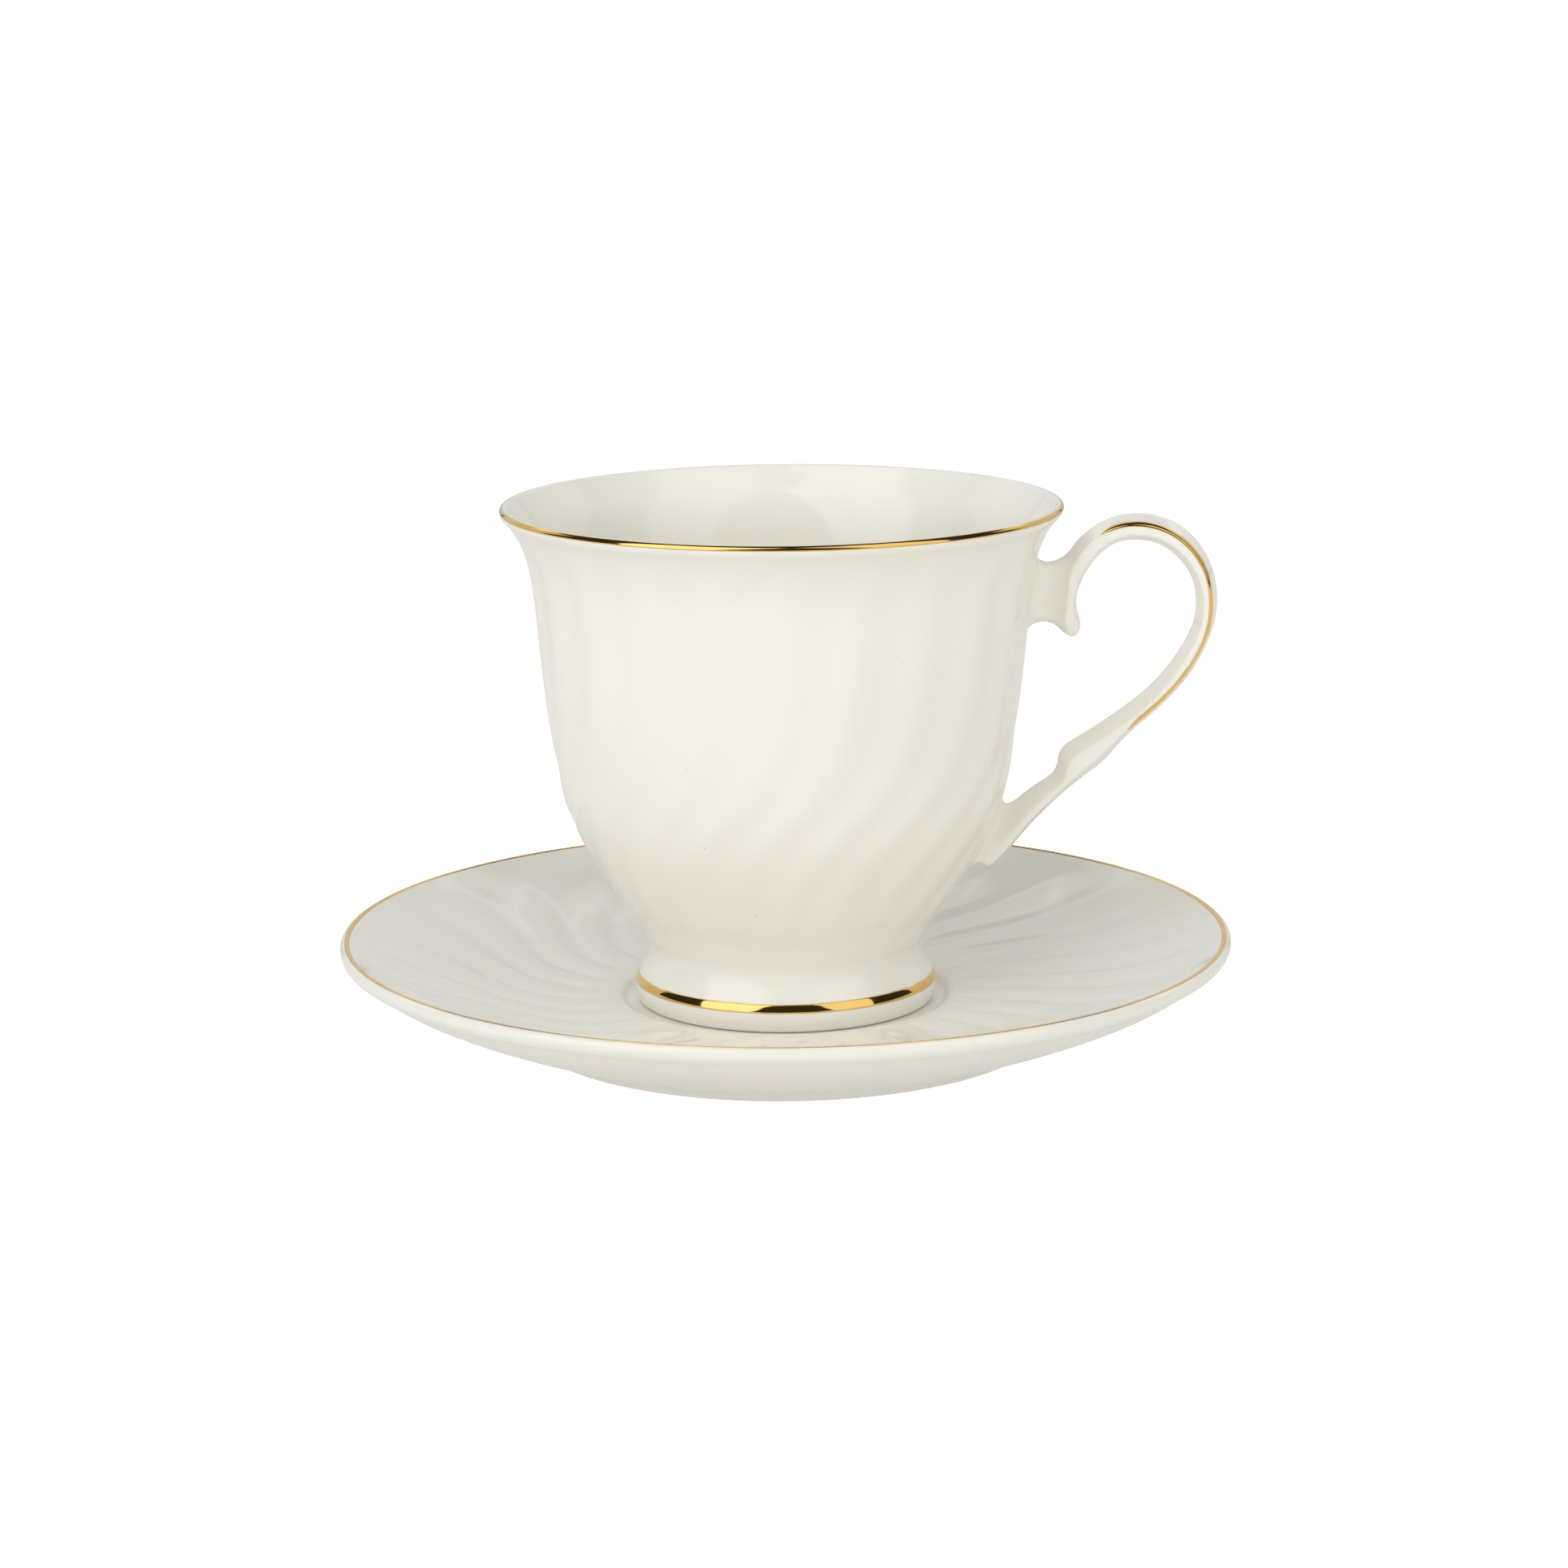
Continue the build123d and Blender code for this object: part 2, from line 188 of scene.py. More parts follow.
# ------------------------------------------------------------------ outlines, (radius, height) in mm
# Every outline has the outside of the piece on its right, so it goes up the outer wall.
SAUCER_UNDER = through([(0.0, 2.7), (20.0, 2.65), (34.0, 2.6), (37.4, 2.55)], 3.0)
SAUCER_RING = through([
    (37.4, 2.55), (38.5, 2.2), (39.1, 1.3), (39.7, 0.35), (40.6, 0.0), (42.2, 0.0), (43.2, 0.25),
    (44.0, 0.75), (44.7, 1.3),
])
SAUCER_SHELL = through([
    (44.7, 1.3), (46.5, 2.3), (50.0, 3.7), (55.0, 5.45), (60.0, 7.45), (65.0, 9.7), (70.0, 12.45),
    (73.4, 14.75), (74.75, 15.75), (SAUCER_RADIUS, 16.75), (74.95, 17.4), (74.45, 17.8), (73.9, 17.86),
    (73.2, 17.62), (72.2, 17.18), (70.0, 16.2), (66.0, 14.6), (62.0, 13.15), (58.0, 11.9),
    (54.0, 10.75), (50.0, 9.7), (46.0, 8.85), (42.0, 8.2), (38.0, 7.75), (34.0, 7.48), (31.0, 7.38),
    (29.0, 7.32), (28.1, 7.2), (27.5, 6.9), (27.0, 6.55), (26.3, SEAT_Z + 0.02),
])
SAUCER_SEAT = through([(26.3, SEAT_Z + 0.02), (25.0, SEAT_Z), (13.0, SEAT_Z), (0.0, SEAT_Z)], 3.0)

BOWL_UNDER = through([
    (0.0, WAIST_Z), (11.0, WAIST_Z), (20.0, WAIST_Z), (21.5, WAIST_Z - 0.1), (22.89, WAIST_Z - 0.4),
], 6.0)
BOWL_SHELL = through([
    (22.89, WAIST_Z - 0.4), (22.93, WAIST_Z), (23.02, 16.3), (23.6, 17.6), (25.15, 20.5), (27.7, 24.0),
    (30.4, 28.0), (33.4, 33.0), (36.15, 39.0), (37.9, 46.0), (39.15, 54.0), (40.15, 62.0), (40.9, 70.0),
    (41.6, 77.0), (42.5, 82.0), (44.05, 86.0), (45.6, 88.2),
    *[lip_point(angle) for angle in (-25, 5, 35, 65, 95, 125, 150)],
    (43.9, 88.6), (41.9, 86.0), (40.0, 81.6), (38.95, 76.0), (38.2, 68.0), (37.2, 59.0), (35.9, 50.0),
    (34.2, 42.0), (31.9, 35.6), (28.6, 29.7), (24.0, 24.5), (19.0, 21.5), (13.0, 19.9), (6.0, 19.1),
    (0.0, 19.0),
])
BOWL_WALL = BOWL_SHELL[:np.argmax(BOWL_SHELL[:, 1] > 88.0)]      # the outer wall alone, for the handle
FOOT_SHELL = through([
    (24.1, SEAT_Z), (24.75, 6.6), (25.2, 7.2), (25.48, 8.1), (25.55, 9.0), (25.4, 10.1), (24.85, 11.3),
    (24.15, 12.5), (23.45, 13.7), (23.1, 14.5), (22.96, 15.1), (22.93, WAIST_Z), (22.86, WAIST_Z + 0.5),
    (22.6, WAIST_Z + 0.9),
], 0.4)
FOOT_HOLLOW = through([
    (19.6, WAIST_Z + 0.4), (19.6, 13.5), (19.8, 11.2), (20.6, 8.6), (21.4, 7.1), (22.2, SEAT_Z),
])

# The handle as (x, z, outer, inner, outer_bevel, inner_bevel, half_width): its middle line from the free
# tip of the scroll, over the top and down to the bowl, how far it reaches to both sides of that line,
# how much of that is the slope from the crest to the ridge, and half of its width.
HANDLE = through([
    (48.45, 68.0, 1.1, 1.25, 0.5, 0.5, 2.4),
    (48.0, 69.8, 1.75, 1.68, 0.8, 0.9, 3.1),
    (47.8, 72.9, 1.35, 0.95, 0.7, 0.65, 3.5),
    (47.8, 76.0, 1.35, 1.42, 0.9, 0.8, 3.65),
    (48.7, 79.3, 2.0, 2.0, 1.2, 1.0, 3.7),
    (51.2, 83.1, 2.07, 2.28, 1.3, 1.1, 3.75),
    (55.0, 85.6, 2.05, 2.25, 1.15, 1.2, 3.75),
    (59.0, 86.3, 2.07, 2.42, 1.3, 1.3, 3.75),
    (63.2, 85.3, 2.23, 2.25, 1.48, 1.2, 3.75),
    (66.8, 82.3, 2.55, 1.76, 1.5, 1.0, 3.75),
    (69.4, 78.4, 2.24, 1.58, 1.38, 0.95, 3.75),
    (70.5, 73.6, 1.94, 1.65, 1.38, 1.0, 3.75),
    (70.0, 69.4, 1.82, 1.68, 1.22, 1.05, 3.75),
    (68.6, 65.8, 1.78, 1.88, 1.18, 1.15, 3.75),
    (66.5, 62.6, 2.04, 1.8, 1.32, 1.25, 3.75),
    (64.2, 59.8, 2.08, 1.76, 1.34, 1.4, 3.75),
    (61.5, 57.0, 2.06, 1.85, 1.38, 1.6, 3.75),
    (58.2, 54.3, 2.17, 1.9, 1.38, 1.8, 3.75),
    (54.5, 51.5, 2.78, 2.1, 1.5, 1.9, 3.75),
    (50.8, 48.4, 3.34, 2.77, 1.7, 1.95, 3.8),
    (48.75, 46.57, 3.12, 3.0, 1.6, 1.95, 3.8),
    (47.8, 45.68, 3.0, 2.5, 1.55, 1.9, 3.8),
    (47.2, 45.1, 2.92, 1.85, 1.5, 1.8, 3.75),
    (46.31, 44.21, 2.82, 1.2, 1.45, 1.7, 3.75),
    (45.12, 42.99, 2.66, 1.22, 1.4, 1.8, 3.75),
    (43.6, 41.4, 2.52, 1.7, 1.3, 2.1, 3.7),
    (40.0, 37.6, 2.35, 2.45, 1.2, 2.6, 3.7),
    (36.6, 33.6, 2.35, 2.8, 1.1, 2.7, 3.7),
    (34.6, 31.4, 2.3, 2.8, 1.0, 2.7, 3.6),
    (33.0, 29.9, 2.0, 2.7, 0.9, 2.6, 3.3),
], 0.25)
spine_reach = reach_of(HANDLE[:, :2])
spine_run = np.gradient(HANDLE[:, :2], spine_reach, axis=0)
spine_run /= np.linalg.norm(spine_run, axis=1, keepdims=True)


# ------------------------------------------------------------------ mesh helpers
def new_piece(name, points, faces, material):
    """A smooth-shaded mesh object from points in millimetres."""
    mesh = bpy.data.meshes.new(name)
    mesh.from_pydata([tuple(point) for point in np.asarray(points, float) * MM], [], faces)
    mesh.update()
    mesh.shade_smooth()
    mesh.materials.append(material)
    piece = bpy.data.objects.new(name, mesh)
    bpy.context.scene.collection.objects.link(piece)
    return piece


def place_piece(piece, body, node_name):
    """Rides the piece on its body and lets it stand for its CAD node."""
    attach(piece, body)
    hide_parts(node_name)


def quads_between(rings):
    """Faces that join each ring of corners to the next; a ring may be one corner over and over."""
    faces = []
    for low, high in zip(rings, rings[1:]):
        for column in range(len(low)):
            following = (column + 1) % len(low)
            corners = [low[column], low[following], high[following], high[column]]
            faces.append(tuple(dict.fromkeys(corners)))
    return faces


def lathe(name, outline, columns, material, relief=None, loop=False):
    """Turns an outline round +Z. relief(radius, height, angles, facing) says how far a ring's points sink
    under the surface. An outline that starts or ends on the axis closes in one point there."""
    angles = 2 * pi * np.arange(columns) / columns
    points, rings = [], []
    for (radius, height), (out_radius, out_height) in zip(outline, normals_of(outline)):
        start = len(points)
        if radius < 1e-6:
            points.append((0.0, 0.0, height))
            rings.append([start] * columns)
            continue
        sunk = np.zeros(columns)
        if relief:
            sunk = relief(radius, height, angles, (out_radius, out_height))
        radii = radius - out_radius * sunk
        points.extend(zip(radii * np.cos(angles), radii * np.sin(angles), height - out_height * sunk))
        rings.append(list(range(start, start + columns)))
    if loop:
        rings.append(rings[0])
    return new_piece(name, points, quads_between(rings), material)


def wobble(angles, size):
    """A smooth closed line of brush-made unevenness, about size high."""
    line = np.zeros(len(angles))
    for wave in (2, 3, 5, 8, 13, 21, 34, 55):
        line += rng.normal() * np.cos(wave * angles + rng.uniform(0, 2 * pi)) / wave ** 0.5
    return size * line / 1.6


def gilding(name, outline, low, high, material, columns=720):
    """A thin fired band on a turned surface, between two distances along its outline."""
    reach, facing = reach_of(outline), normals_of(outline)
    angles = 2 * pi * np.arange(columns) / columns
    starts = low + wobble(angles, BAND_UNEVEN)
    ends = high + wobble(angles, BAND_UNEVEN)
    shares = np.linspace(0, 1, 9)
    crown = BAND_LIFT * np.minimum(1, 6 * np.minimum(shares, 1 - shares))
    front = list(zip(shares, crown))
    back = [(share, -BAND_DEPTH) for share in shares[::-1]]
    points, rings = [], []
    for share, raised in front + back:
        at = starts + (ends - starts) * share
        radius = np.interp(at, reach, outline[:, 0]) + raised * np.interp(at, reach, facing[:, 0])
        height = np.interp(at, reach, outline[:, 1]) + raised * np.interp(at, reach, facing[:, 1])
        rings.append(list(range(len(points), len(points) + columns)))
        points.extend(zip(radius * np.cos(angles), radius * np.sin(angles), height))
    rings.append(rings[0])
    return new_piece(name, points, quads_between(rings), material)


# ------------------------------------------------------------------ materials
def link(tree, source, target):
    """Joins an output socket to an input socket."""
    tree.links.new(source, target)


def node(tree, kind, **sockets):
    """A shader node with some of its inputs set."""
    made = tree.nodes.new(kind)
    for label, value in sockets.items():
        made.inputs[label.replace("_", " ")].default_value = value
    return made


def new_material(name):
    """A node material, with its tree, its shader and the object's own coordinates."""
    material = bpy.data.materials.new(name)
    material.use_nodes = True
    tree = material.node_tree
    place = tree.nodes.new("ShaderNodeTexCoord").outputs["Object"]
    return material, tree, tree.nodes["Principled BSDF"], place


def two_tones(tree, factor, low, high, dark, light):
    """A colour ramp from dark to light between two values of its factor."""
    tone = tree.nodes.new("ShaderNodeValToRGB")
    first, last = tone.color_ramp.elements
    first.position, last.position = low, high
    first.color, last.color = (*dark, 1), (*light, 1)
    link(tree, factor, tone.inputs["Fac"])
    return tone.outputs["Color"]


def porcelain(name, light, shade):
    """Warm white body under clear gloss glaze: slow drifts of tone, rare iron specks, gently wavy glaze."""
    material, tree, shader, place = new_material(name)

    drift = node(tree, "ShaderNodeTexNoise", Scale=28.0, Detail=3.0, Roughness=0.5)
    link(tree, place, drift.inputs["Vector"])
    body = two_tones(tree, drift.outputs["Fac"], 0.35, 0.65, shade, light)

    cells = node(tree, "ShaderNodeTexVoronoi", Scale=165.0, Randomness=1.0)
    link(tree, place, cells.inputs["Vector"])
    speck = node(tree, "ShaderNodeMapRange", From_Min=0.010, From_Max=0.016, To_Min=1.0, To_Max=0.0)
    link(tree, cells.outputs["Distance"], speck.inputs["Value"])
    colour = tree.nodes.new("ShaderNodeMix")
    colour.data_type = "RGBA"
    colour.inputs["B"].default_value = (0.20, 0.17, 0.13, 1)
    link(tree, speck.outputs["Result"], colour.inputs["Factor"])
    link(tree, body, colour.inputs["A"])
    link(tree, colour.outputs["Result"], shader.inputs["Base Color"])

    gloss = node(tree, "ShaderNodeTexNoise", Scale=60.0, Detail=2.0)
    link(tree, place, gloss.inputs["Vector"])
    rough = node(tree, "ShaderNodeMapRange", To_Min=0.06, To_Max=0.14)
    link(tree, gloss.outputs["Fac"], rough.inputs["Value"])
    link(tree, rough.outputs["Result"], shader.inputs["Roughness"])

    waves = node(tree, "ShaderNodeTexNoise", Scale=150.0, Detail=1.5, Roughness=0.4)
    link(tree, place, waves.inputs["Vector"])
    bump = node(tree, "ShaderNodeBump", Strength=0.25, Distance=0.00006)
    link(tree, waves.outputs["Fac"], bump.inputs["Height"])
    link(tree, bump.outputs["Normal"], shader.inputs["Normal"])

    shader.inputs["IOR"].default_value = 1.5
    shader.inputs["Subsurface Weight"].default_value = 0.1
    shader.inputs["Subsurface Radius"].default_value = (1.0, 0.85, 0.6)
    shader.inputs["Subsurface Scale"].default_value = 0.0015
    return material


def fired_gold(name):
    """Burnished fired gold: mirror bright, with faint brush streaks and duller thin places."""
    material, tree, shader, place = new_material(name)

    drift = node(tree, "ShaderNodeTexNoise", Scale=180.0, Detail=4.0)
    link(tree, place, drift.inputs["Vector"])
    tone = two_tones(tree, drift.outputs["Fac"], 0.3, 0.7, (0.84, 0.54, 0.17), (0.95, 0.66, 0.24))
    link(tree, tone, shader.inputs["Base Color"])
    rough = node(tree, "ShaderNodeMapRange", To_Min=0.03, To_Max=0.11)
    link(tree, drift.outputs["Fac"], rough.inputs["Value"])
    link(tree, rough.outputs["Result"], shader.inputs["Roughness"])

    brush = node(tree, "ShaderNodeTexNoise", Scale=600.0, Detail=2.0)
    link(tree, place, brush.inputs["Vector"])
    bump = node(tree, "ShaderNodeBump", Strength=0.15, Distance=0.00003)
    link(tree, brush.outputs["Fac"], bump.inputs["Height"])
    link(tree, bump.outputs["Normal"], shader.inputs["Normal"])

    shader.inputs["Metallic"].default_value = 1.0
    return material


cup_glaze = porcelain("cup_glaze", (0.90, 0.88, 0.81), (0.88, 0.858, 0.785))
saucer_glaze = porcelain("saucer_glaze", (0.885, 0.862, 0.80), (0.865, 0.84, 0.775))
gold = fired_gold("fired_gold")


# ------------------------------------------------------------------ flutes in the surfaces
def grooves(angle, count):
    """0 on the crest of a lobe and 1 in the groove between two."""
    return (1 + np.cos(count * angle)) / 2


def cup_relief(radius, height, angles, facing):
    """Depth of the bowl's outer flutes, which fade out above the waist and under the lip."""
    if facing[0] < 0:
        return 0 * angles
    depth = CUP_WALL_DEPTH * ramp(height, *CUP_WALL_RISE) + CUP_UPPER_DEPTH * ramp(height, *CUP_UPPER_RISE)
    depth *= 1 - ramp(height, *CUP_FLUTE_END)
    turn = radians(CUP_TWIST) * (np.tanh((height - CUP_TWIST_Z) / CUP_TWIST_SPREAD) - 1) / 2
    return depth * grooves(angles - turn - radians(CUP_PHASE), CUP_FLUTES)


def saucer_relief(radius, height, angles, facing):
    """Depth of the flutes in the saucer's face, from the plain ring round the seat to the gold line."""
    if facing[1] < 0.5:
        return 0 * angles
    depth = SAUCER_DEPTH * ramp(radius, *SAUCER_FLUTE_START) * (1 - ramp(radius, *SAUCER_FLUTE_END))
    depth *= 1 - SAUCER_SHALLOWER * ramp(radius, *SAUCER_OUTER_FACE)
    turn = -radians(SAUCER_TWIST) * (np.tanh((radius - SAUCER_TWIST_RADIUS) / SAUCER_TWIST_SPREAD) + 1) / 2
    return depth * grooves(angles - turn - radians(SAUCER_PHASE), SAUCER_FLUTES) ** 2


# ------------------------------------------------------------------ handle, as one smooth distance field
def least_of(one, two, blend):
    """The smaller of two distances, with a fillet where they are alike."""
    near = np.maximum(blend - np.abs(one - two), 0) / blend
    return np.minimum(one, two) - near * near * blend / 4


def most_of(one, two, blend):
    """The larger of two distances, with a rounded edge where they are alike."""
    return -least_of(-one, -two, blend)


def nearest_on_spine(flat):
    """Distance along the handle's middle line of the point nearest to each (x, z)."""
    along = np.empty(len(flat))
    for start in range(0, len(flat), 20000):
        batch = flat[start:start + 20000]
        away = ((batch[:, None, :] - HANDLE[None, :, :2]) ** 2).sum(axis=2)
        nearest = away.argmin(axis=1)
        ahead = ((batch - HANDLE[nearest, :2]) * spine_run[nearest]).sum(axis=1)
        along[start:start + 20000] = spine_reach[nearest] + ahead
    return along


def on_spine(along):
    """The handle's rows and its unit run at distances along its middle line."""
    rows = [np.interp(along, spine_reach, column) for column in HANDLE.T]
    run = [np.interp(along, spine_reach, column) for column in spine_run.T]
    return rows, run


def scroll_distance(points, along):
    """Distance outside the handle's own bar, whose section has a crest and two ridges on either face."""
    (x, z, outer, inner, outer_bevel, inner_bevel, half_width), (run_x, run_z) = on_spine(along)
    out = (points[:, 0] - x) * -run_z + (points[:, 2] - z) * run_x
    side = np.sqrt(points[:, 1] ** 2 + CREST ** 2) - CREST
    upper = ((out - outer) * half_width + side * outer_bevel) / np.hypot(half_width, outer_bevel)
    lower = ((-out - inner) * half_width + side * inner_bevel) / np.hypot(half_width, inner_bevel)
    section = most_of(most_of(upper, side - half_width, RIDGE), lower, RIDGE)
    overshoot = np.maximum(-along, along - spine_reach[-1])
    return most_of(section, overshoot, END_ROUND)


def lug_distance(points):
    """Distance outside the rounded block between the scroll and the bowl."""
    past = np.abs(points - LUG_MIDDLE) - (np.array(LUG_HALF) - LUG_ROUND)
    return np.linalg.norm(np.maximum(past, 0), axis=1) + np.minimum(past.max(axis=1), 0) - LUG_ROUND


def wall_distance(points):
    """Distance outside the bowl's fluted wall."""
    radius, angle = np.hypot(points[:, 0], points[:, 1]), np.arctan2(points[:, 1], points[:, 0])
    height = points[:, 2]
    wall_radius, wall_z = BOWL_WALL.T
    slope = np.interp(height, wall_z, np.gradient(wall_radius, wall_z))
    sunk = cup_relief(radius, height, angle, (1, 0))
    return (radius - np.interp(height, wall_z, wall_radius)) / np.sqrt(1 + slope ** 2) + sunk


def handle_distance(points, along):
    """Distance outside the handle, with its fillets and the skirt that dips into the bowl's wall."""
    loose = least_of(scroll_distance(points, along), lug_distance(points), LUG_BLEND)
    bowl = wall_distance(points)
    joined = least_of(loose, bowl + SUNK, WALL_BLEND)
    return np.maximum(np.maximum(joined, loose - WALL_BLEND - SKIRT), -bowl - EMBEDDED)


def settle(points, rounds=4, probe=0.01, farthest=0.3):
    """Moves points along the field's slope until they lie on the handle's surface."""
    points = np.array(points, float)
    for _ in range(rounds):
        along = nearest_on_spine(points[:, [0, 2]])
        value = handle_distance(points, along)
        slope = np.empty_like(points)
        for axis in range(3):
            aside = points.copy()
            aside[:, axis] += probe
            slope[:, axis] = (handle_distance(aside, along) - value) / probe
        step = value / np.maximum((slope ** 2).sum(axis=1), 0.25)
        points -= slope * np.clip(step, -farthest, farthest)[:, None]
    return points


def zero_surface(values, origin, step):
    """Corners and quads of the surface round the negative values of a grid: one corner in each cell that
    the surface crosses, and one quad for each edge that it crosses."""
    cells = np.array(values.shape) - 1
    total, hits, quads = np.zeros((cells.prod(), 3)), np.zeros(cells.prod()), []
    units = np.eye(3, dtype=int)
    for axis in range(3):
        here = values[tuple(slice(0, size - unit) for size, unit in zip(values.shape, units[axis]))]
        ahead = values[tuple(slice(unit, size) for size, unit in zip(values.shape, units[axis]))]
        edges = np.argwhere((here < 0) != (ahead < 0))
        before, after = here[tuple(edges.T)], ahead[tuple(edges.T)]
        places = edges + np.outer(before / (before - after), units[axis])
        one, two = units[(axis + 1) % 3], units[(axis + 2) % 3]
        around = [np.ravel_multi_index((edges - back).T, cells) for back in (one + two, two, 0 * one, one)]
        for cell in around:
            np.add.at(total, cell, places)
            np.add.at(hits, cell, 1)
        quads.append(np.where((before < 0)[:, None], np.stack(around, 1), np.stack(around[::-1], 1)))
    used, quads = np.unique(np.concatenate(quads), return_inverse=True)
    corners = np.array(origin) + step * total[used] / hits[used][:, None]
    return corners, quads.reshape(-1, 4)


def handle_surface():
    """Corners and quads of the whole handle."""
    across, deep, up = [np.arange(low, high, GRID) for low, high in zip(GRID_LOW, GRID_HIGH)]
    flat_x, flat_z = np.meshgrid(across, up, indexing="ij")
    along = nearest_on_spine(np.stack([flat_x.ravel(), flat_z.ravel()], axis=1))
    values = np.empty((len(across), len(deep), len(up)))
    for layer, depth in enumerate(deep):
        points = np.stack([flat_x.ravel(), np.full(flat_x.size, depth), flat_z.ravel()], axis=1)
        values[:, layer, :] = handle_distance(points, along).reshape(flat_x.shape)
    corners, quads = zero_surface(values, GRID_LOW, GRID)
    return settle(corners), quads.tolist()


def aside_on_handle(row, level):
    """How far from the middle plane the handle's flank stands a level above its glaze, over each (x, z)."""
    near, far = np.zeros(len(row)), np.full(len(row), 5.0)
    along = nearest_on_spine(row)
    for _ in range(22):
        middle = (near + far) / 2
        outside = handle_distance(np.stack([row[:, 0], middle, row[:, 1]], axis=1), along) > level
        near, far = np.where(outside, near, middle), np.where(outside, middle, far)
    return (near + far) / 2


def handle_line(name, side):
    """Gold line along the outer ridge of one flank of the handle, pointed at both ends."""
    start, end = nearest_on_spine(np.array([LINE_START, LINE_END]))
    along = np.linspace(start, end, 360)
    (x, z, outer, _, outer_bevel, _, _), (run_x, run_z) = on_spine(along)
    share = np.linspace(0, 1, len(along))
    taper = np.minimum(1, np.minimum(share, 1 - share) / LINE_TAPER) ** 0.6
    half = (LINE_HALF + LINE_WIDENING * share) * taper + LINE_TIP
    half = half * (1 + wobble(2 * pi * share, LINE_UNEVEN))
    tops = np.linspace(-1, 1, 9)
    front = [(across, LINE_LIFT * (1 - across ** 4)) for across in tops]
    back = [(across, -LINE_DEPTH) for across in tops[::-1]]
    sheet = []
    for across, level in front + back:
        out = outer - outer_bevel + across * half
        row = np.stack([x - run_z * out, z + run_x * out], axis=1)
        sheet.append(np.stack([row[:, 0], side * aside_on_handle(row, level), row[:, 1]], axis=1))
    sheet = np.stack(sheet, axis=1)[:, ::-side]
    count = sheet.shape[1]
    rings = [list(range(first, first + count)) for first in range(0, len(along) * count, count)]
    faces = quads_between(rings) + [tuple(rings[0][::-1]), tuple(rings[-1])]
    return new_piece(name, sheet.reshape(-1, 3), faces, gold)


# ------------------------------------------------------------------ the pieces
saucer_outline = mended(SAUCER_UNDER, SAUCER_RING, SAUCER_SHELL, SAUCER_SEAT)
saucer_dish = lathe("saucer_dish", saucer_outline, SAUCER_FLUTES * 16, saucer_glaze, saucer_relief)
place_piece(saucer_dish, "saucer", "saucer")

bowl_shell = lathe("bowl_shell", mended(BOWL_UNDER, BOWL_SHELL), CUP_FLUTES * 20, cup_glaze, cup_relief)
place_piece(bowl_shell, "cup", "cup_bowl")

foot_outline = np.concatenate([FOOT_SHELL, FOOT_HOLLOW])
foot_shell = lathe("foot_shell", foot_outline, 360, cup_glaze, loop=True)
place_piece(foot_shell, "cup", "cup_foot")

foot_start, foot_end = [at_height(FOOT_SHELL, height) for height in FOOT_GOLD]
foot_gold = gilding("foot_gold", FOOT_SHELL, foot_start, foot_end, gold)
place_piece(foot_gold, "cup", "cup_foot_gilding")

rim_start = at_height(BOWL_SHELL, lip_point(RIM_GOLD_START)[1])
rim_end = rim_start + radians(RIM_GOLD_SPAN) * LIP_RADIUS
rim_gold = gilding("rim_gold", BOWL_SHELL, rim_start, rim_end, gold)
place_piece(rim_gold, "cup", "cup_rim_gilding")

line_start = at_radius_inward(SAUCER_SHELL, SAUCER_GOLD_RADIUS, SAUCER_LAND_Z)
saucer_gold = gilding("saucer_gold", SAUCER_SHELL, line_start, line_start + SAUCER_GOLD_WIDTH, gold, 960)
place_piece(saucer_gold, "saucer", "saucer_gilding")

handle_corners, handle_quads = handle_surface()
handle_body = new_piece("handle_body", handle_corners, handle_quads, cup_glaze)
place_piece(handle_body, "cup", "cup_handle")

for name, side in (("handle_gold_front", -1), ("handle_gold_back", 1)):
    place_piece(handle_line(name, side), "cup", "handle_gilding")

# ------------------------------------------------------------------ floor, in metres
FLOOR_RADIUS = 9
FLOOR_CORNERS = 96
FLOOR_Z = -0.00005                   # clear of the CAD foot ring's flat, which lies at 0
FLOOR_GLOW = 0.37                    # what the pale floor sends up on to the object
FLOOR_GLOW_SEEN = 0.9                # lifts it to white where it is looked at


def paper_white():
    """White studio paper, lit so evenly that it glows."""
    material = bpy.data.materials.new("white_sweep")
    material.use_nodes = True
    tree = material.node_tree
    shader = tree.nodes["Principled BSDF"]
    shader.inputs["Base Color"].default_value = (0.5, 0.49, 0.47, 1)
    shader.inputs["Roughness"].default_value = 0.9
    shader.inputs["Specular IOR Level"].default_value = 0.1
    shader.inputs["Emission Color"].default_value = (1.0, 0.99, 0.97, 1)
    ray = tree.nodes.new("ShaderNodeLightPath")
    glow = node(tree, "ShaderNodeMapRange", To_Min=FLOOR_GLOW, To_Max=FLOOR_GLOW_SEEN)
    link(tree, ray.outputs["Is Camera Ray"], glow.inputs["Value"])
    link(tree, glow.outputs["Result"], shader.inputs["Emission Strength"])
    return material


floor_mesh = bpy.data.meshes.new("floor")
turns = [2 * pi * step / FLOOR_CORNERS for step in range(FLOOR_CORNERS)]
edge = [(FLOOR_RADIUS * cos(turn), FLOOR_RADIUS * sin(turn), FLOOR_Z) for turn in turns]
floor_mesh.from_pydata(edge, [], [tuple(range(FLOOR_CORNERS))])
floor_mesh.materials.append(paper_white())
floor = bpy.data.objects.new("floor", floor_mesh)
bpy.context.scene.collection.objects.link(floor)

# ------------------------------------------------------------------ studio light, in metres
MIDDLE = (0.0, 0.0, 0.045)           # what every panel faces
BACK_AWAY = 6.5                      # distance of the back panels from the object's axis
FILL_LIGHT = 0.375                   # what the room sends on to dull surfaces
ROOM_SEEN = 0.03                     # the dark room that shows in reflections


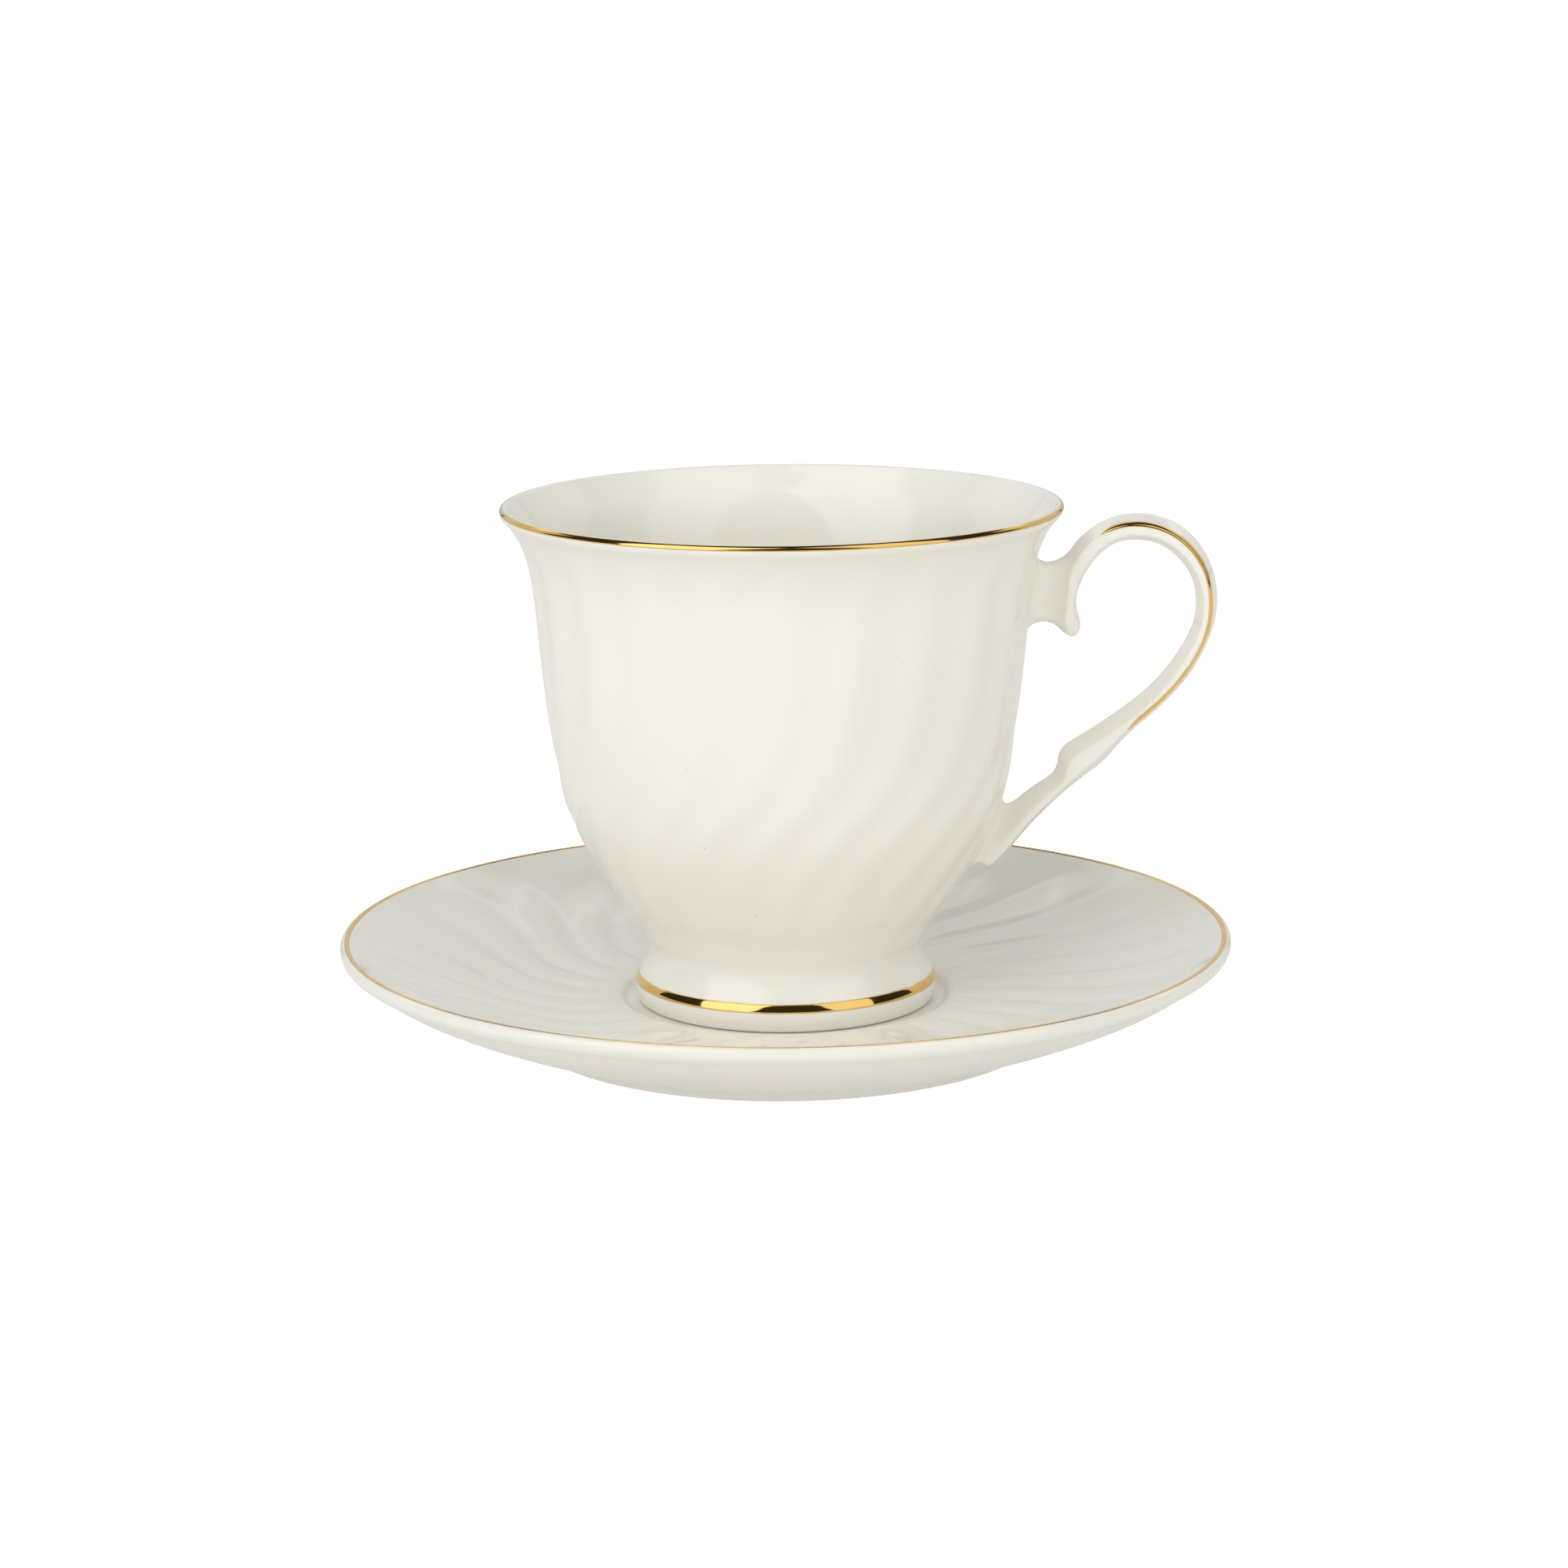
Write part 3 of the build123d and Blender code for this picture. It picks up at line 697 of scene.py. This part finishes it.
def softbox(name, place, width, height, radiance, tint=(1, 1, 1)):
    """A diffusing panel that faces the object and isn't seen by the camera itself."""
    light = bpy.data.lights.new(name, "AREA")
    light.shape = "RECTANGLE"
    light.size = width
    light.size_y = height
    light.energy = radiance * pi * width * height
    light.color = tint
    lamp = bpy.data.objects.new(name, light)
    lamp.location = place
    lamp.rotation_euler = (Vector(MIDDLE) - Vector(place)).to_track_quat("-Z", "Y").to_euler()
    lamp.visible_camera = False
    bpy.context.scene.collection.objects.link(lamp)
    return lamp


WARM, COOL = (1.0, 0.98, 0.92), (0.95, 0.955, 1.0)

softbox("key_left", (-0.685, -0.65, 0.80), width=0.98, height=1.7, radiance=1.42)
softbox("key_right", (0.75, -0.575, 0.80), width=0.8, height=1.7, radiance=1.0, tint=WARM)
front_fill = softbox("front_fill", (0.0, -2.2, 0.45), width=2.6, height=0.8, radiance=1.52, tint=COOL)
front_fill.visible_glossy = False
for name, turned in (("back_left", 46), ("back_middle", 0), ("back_right", -46)):
    away = radians(90 + turned)
    place = (BACK_AWAY * cos(away), BACK_AWAY * sin(away), 2.4)
    softbox(name, place, width=5.6, height=4.6, radiance=0.62)
back_top = softbox("back_top", (0.0, 4.4, 3.65), width=8.0, height=0.6, radiance=0.6)
back_top.visible_diffuse = False

world = bpy.data.worlds.new("studio")
bpy.context.scene.world = world
world.use_nodes = True
sky = world.node_tree
ray = sky.nodes.new("ShaderNodeLightPath")
room = node(sky, "ShaderNodeMapRange", To_Min=FILL_LIGHT, To_Max=ROOM_SEEN)
link(sky, ray.outputs["Is Glossy Ray"], room.inputs["Value"])
link(sky, room.outputs["Result"], sky.nodes["Background"].inputs["Strength"])
sky.nodes["Background"].inputs["Color"].default_value = (1, 1, 1, 1)

# ------------------------------------------------------------------ camera, in metres and radians
CAMERA_PLACE = (0.0, -0.7057, 0.1955)
PITCH = 0.2129                       # how far it looks down
ROLL = -0.0092

camera_data = bpy.data.cameras.new("camera")
camera_data.lens = 98.65
camera_data.sensor_width = 36.0
camera_data.clip_start = 0.01
camera = bpy.data.objects.new("camera", camera_data)
turn = Matrix.Rotation(pi / 2 - PITCH, 4, "X") @ Matrix.Rotation(ROLL, 4, "Z")
camera.matrix_world = Matrix.Translation(CAMERA_PLACE) @ turn
bpy.context.scene.collection.objects.link(camera)
bpy.context.scene.camera = camera
bpy.context.scene.view_settings.view_transform = "Standard"
